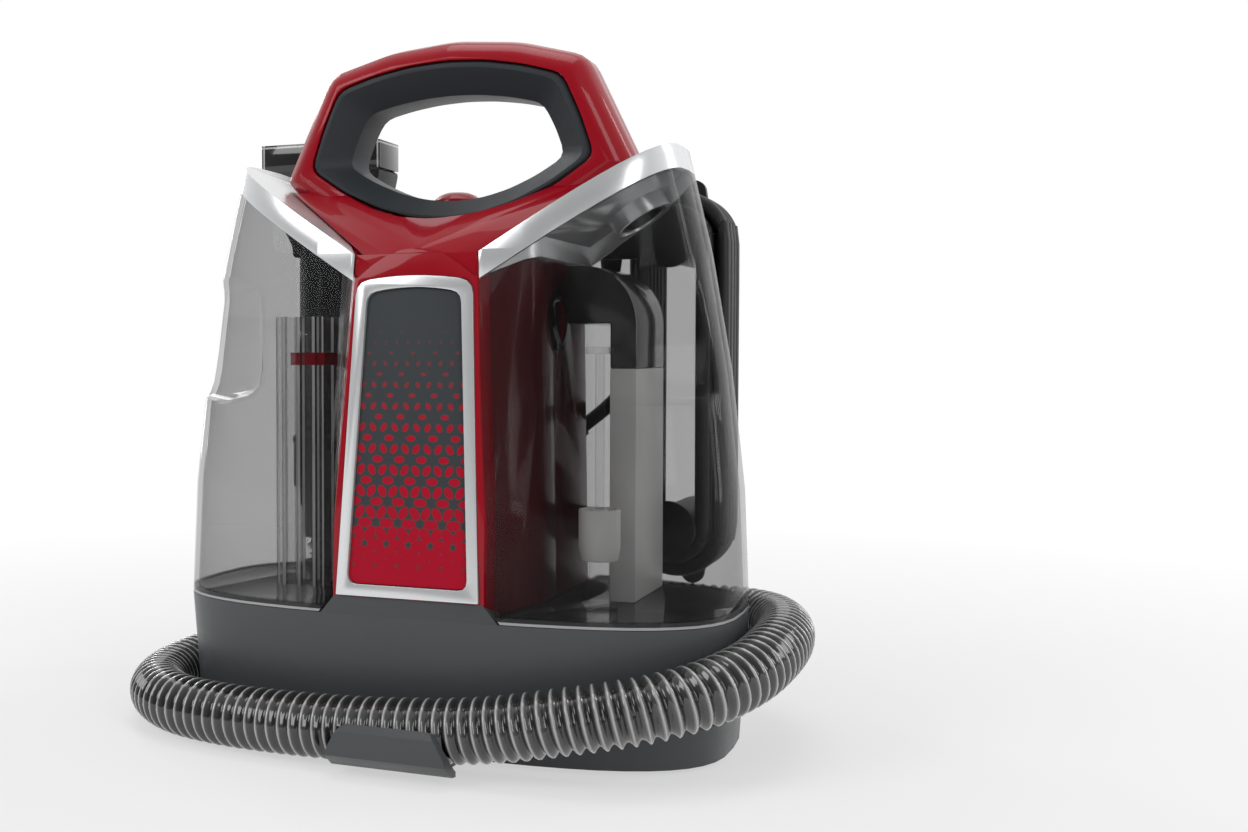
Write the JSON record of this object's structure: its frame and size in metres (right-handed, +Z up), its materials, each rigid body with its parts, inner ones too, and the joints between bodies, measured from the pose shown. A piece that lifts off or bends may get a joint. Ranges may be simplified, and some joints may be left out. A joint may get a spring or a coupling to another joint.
{
  "type": "spot extractor",
  "caption": "Upright spot extractor with two lift-off clear tanks, loop handle, wrapped suction hose, brush tool on a stored wand and a wound power cord.",
  "frame": {"origin": "floor under the centre of the base, at the underside of the feet", "axes": "+Z up, the front panel faces -Y, +X to the right seen from the front"},
  "size_m": [0.3228, 0.2267, 0.3147],
  "materials": {
    "base_plastic": "fine matt grain",
    "dark_plastic": "fine matt grain",
    "red_gloss": "high gloss",
    "silver_plastic": "satin metallic",
    "panel_print": "gloss print, red dots over dark grey",
    "clear_tank": "clear, lightly smoked",
    "clear_part": "clear",
    "soft_grip": "soft matt",
    "rubber_black": "matt",
    "hose_plastic": "translucent grey with a dark helix",
    "steel": "plain",
    "aluminium_cast": "as cast",
    "silicone": "translucent",
    "white_plastic": "natural white",
    "grey_plastic": "fine matt grain",
    "bristle_red": "nylon tufts"
  },
  "bodies": {
    "base": {"base_housing": "base_plastic", "bottom_plate": "dark_plastic", "rubber_feet": "rubber_black", "casing_screws": "steel", "hose_cradle": "dark_plastic", "front_shell": "red_gloss", "rear_shell": "red_gloss", "rear_cover": "dark_plastic", "grip_lining": "soft_grip", "front_bezel": "silver_plastic", "front_panel": "panel_print", "motor_cradle": "dark_plastic", "lower_damper": "rubber_black", "vacuum_motor": "steel", "fan_housing": "dark_plastic", "upper_damper": "rubber_black", "motor_clamp": "dark_plastic", "water_pump": "dark_plastic", "pump_mount": "rubber_black", "water_heater": "aluminium_cast", "heater_brackets": "steel", "water_tubes": "silicone", "suction_duct": "dark_plastic", "tank_valve_seat": "dark_plastic", "air_gasket": "rubber_black", "switch_module": "dark_plastic", "hose_port": "dark_plastic", "hose": "hose_plastic", "hose_cuff": "dark_plastic", "power_cord": "rubber_black", "cord_plug": "rubber_black", "strain_relief": "rubber_black", "cord_hook_lower": "dark_plastic", "cord_hook_pivot": "dark_plastic", "wand_body": "dark_plastic", "trigger_pin": "steel", "wand_spray_line": "dark_plastic", "wand_holder": "dark_plastic"},
    "rotor": {"motor_shaft": "steel", "fan": "aluminium_cast"},
    "power_button": {"power_button": "red_gloss"},
    "cord_hook": {"cord_hook_upper": "dark_plastic"},
    "clean_tank": {"clean_tank": "clear_tank", "clean_tank_cover": "silver_plastic", "clean_column": "clear_part"},
    "fill_cap": {"fill_cap": "dark_plastic"},
    "valve_plunger": {"valve_plunger": "rubber_black"},
    "dirty_tank": {"dirty_tank": "clear_tank", "dirty_tank_cover": "silver_plastic", "dirty_duct": "white_plastic", "separator_hood": "grey_plastic", "float_guide": "clear_part"},
    "float": {"float": "white_plastic"},
    "drain_cap": {"drain_cap": "dark_plastic"},
    "trigger": {"wand_trigger": "red_gloss"},
    "brush_tool": {"tool_body": "dark_plastic", "tool_window": "clear_part", "tool_bristles": "bristle_red", "tool_sprayer": "dark_plastic"},
    "tool_latch": {"tool_latch": "dark_plastic"}
  },
  "joints": [
    {"name": "fan_spin", "type": "hinge", "parent": "base", "child": "rotor", "pos_m": [0, 0.005, 0.15], "axis": [0, 0, 1], "continuous": true},
    {"name": "power_button_press", "type": "slide", "parent": "base", "child": "power_button", "axis": [0, 0, -1], "range_m": [0, 0.003], "stiffness_N_per_m": 300, "springref_m": -0.002},
    {"name": "cord_hook_turn", "type": "hinge", "parent": "base", "child": "cord_hook", "pos_m": [0.081, 0.09, 0.228], "axis": [0, 1, 0], "range_deg": [0, 180]},
    {"name": "clean_tank_lift", "type": "slide", "parent": "base", "child": "clean_tank", "axis": [-0.8829, 0, 0.4695], "range_m": [0, 0.2]},
    {"name": "dirty_tank_lift", "type": "slide", "parent": "base", "child": "dirty_tank", "axis": [0.8829, 0, 0.4695], "range_m": [0, 0.2]},
    {"name": "fill_cap_lift", "type": "slide", "parent": "clean_tank", "child": "fill_cap", "axis": [0.5299, 0, 0.848], "range_m": [0, 0.03]},
    {"name": "drain_cap_lift", "type": "slide", "parent": "dirty_tank", "child": "drain_cap", "axis": [-0.5299, 0, 0.848], "range_m": [0, 0.03]},
    {"name": "valve_plunger_drop", "type": "slide", "parent": "clean_tank", "child": "valve_plunger", "axis": [0, 0, -1], "range_m": [0, 0.0025]},
    {"name": "float_rise", "type": "slide", "parent": "dirty_tank", "child": "float", "axis": [0, 0, 1], "range_m": [0, 0.06]},
    {"name": "trigger_squeeze", "type": "hinge", "parent": "base", "child": "trigger", "pos_m": [-0.114, 0.0725, 0.168], "axis": [1, 0, 0], "range_deg": [0, 9], "stiffness_Nm_per_rad": 0.3, "springref_deg": -2.86},
    {"name": "tool_pull", "type": "slide", "parent": "base", "child": "brush_tool", "axis": [0, 0, 1], "range_m": [0, 0.1]},
    {"name": "latch_press", "type": "slide", "parent": "brush_tool", "child": "tool_latch", "axis": [0, -1, 0], "range_m": [0, 0.0015], "stiffness_N_per_m": 400, "springref_m": -0.001}
  ],
  "couplings": [
    {"joint": "valve_plunger_drop", "follows": "clean_tank_lift", "ratio": 0.0125}
  ]
}
